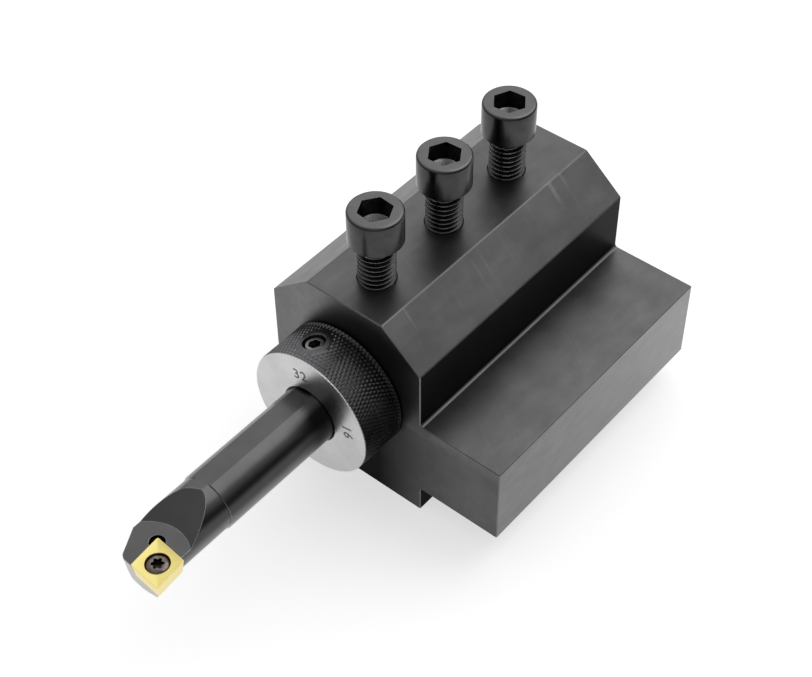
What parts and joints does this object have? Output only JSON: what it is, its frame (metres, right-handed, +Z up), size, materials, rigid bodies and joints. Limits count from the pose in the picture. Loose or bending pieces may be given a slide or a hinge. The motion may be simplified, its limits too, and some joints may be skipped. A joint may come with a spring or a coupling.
{
  "type": "boring bar holder",
  "caption": "Square-shank static holder for an internal boring bar: a bevelled steel block clamps a knurled reducing sleeve that carries the bar and its indexable insert.",
  "frame": {"origin": "middle of the square shank's bottom face, the seat that lies in the lathe's tool slot", "axes": "+X from the bore to the shank's outer side, +Y back along the bore away from the cutting corner, +Z up"},
  "size_m": [0.0734, 0.1621, 0.0836],
  "materials": {
    "block_steel": "milled steel, black oxide, satin",
    "screw_steel": "black oxide, smooth",
    "sleeve_steel": "black oxide knurl with a bright turned face",
    "grub_steel": "black oxide, smooth",
    "bar_steel": "turned and milled steel, black oxide",
    "insert_coating": "gold titanium nitride coating on carbide",
    "insert_screw_steel": "dark bronze phosphate"
  },
  "bodies": {
    "block": {"holder_block": "block_steel"},
    "front_screw": {"clamp_screw_front": "screw_steel"},
    "middle_screw": {"clamp_screw_middle": "screw_steel"},
    "rear_screw": {"clamp_screw_rear": "screw_steel"},
    "sleeve": {"reducing_sleeve": "sleeve_steel"},
    "collar_grub": {"collar_grub_screw": "grub_steel"},
    "front_grub": {"sleeve_grub_screw_front": "grub_steel"},
    "rear_grub": {"sleeve_grub_screw_rear": "grub_steel"},
    "bar": {"boring_bar": "bar_steel"},
    "insert": {"cutting_insert": "insert_coating"},
    "insert_screw": {"insert_screw": "insert_screw_steel"}
  },
  "joints": [
    {"name": "front_screw_travel", "type": "slide", "parent": "block", "child": "front_screw", "axis": [0, 0, 1], "range_m": [0, 0.012]},
    {"name": "middle_screw_travel", "type": "slide", "parent": "block", "child": "middle_screw", "axis": [0, 0, 1], "range_m": [0, 0.012]},
    {"name": "rear_screw_travel", "type": "slide", "parent": "block", "child": "rear_screw", "axis": [0, 0, 1], "range_m": [0, 0.012]},
    {"name": "sleeve_slide", "type": "slide", "parent": "block", "child": "sleeve", "axis": [0, -1, 0], "range_m": [0, 0.08]},
    {"name": "bar_slide", "type": "slide", "parent": "sleeve", "child": "bar", "axis": [0, -1, 0], "range_m": [-0.03, 0.04]},
    {"name": "collar_grub_travel", "type": "slide", "parent": "sleeve", "child": "collar_grub", "axis": [-0.2079, 0, 0.9781], "range_m": [0, 0.008]},
    {"name": "front_grub_travel", "type": "slide", "parent": "sleeve", "child": "front_grub", "axis": [-0.2079, 0, 0.9781], "range_m": [0, 0.0012]},
    {"name": "rear_grub_travel", "type": "slide", "parent": "sleeve", "child": "rear_grub", "axis": [-0.2079, 0, 0.9781], "range_m": [0, 0.0012]},
    {"name": "insert_lift", "type": "slide", "parent": "bar", "child": "insert", "axis": [0.0017, 0, 1], "range_m": [0, 0.01]},
    {"name": "insert_screw_travel", "type": "slide", "parent": "insert", "child": "insert_screw", "axis": [0.0017, 0, 1], "range_m": [0, 0.01]}
  ]
}
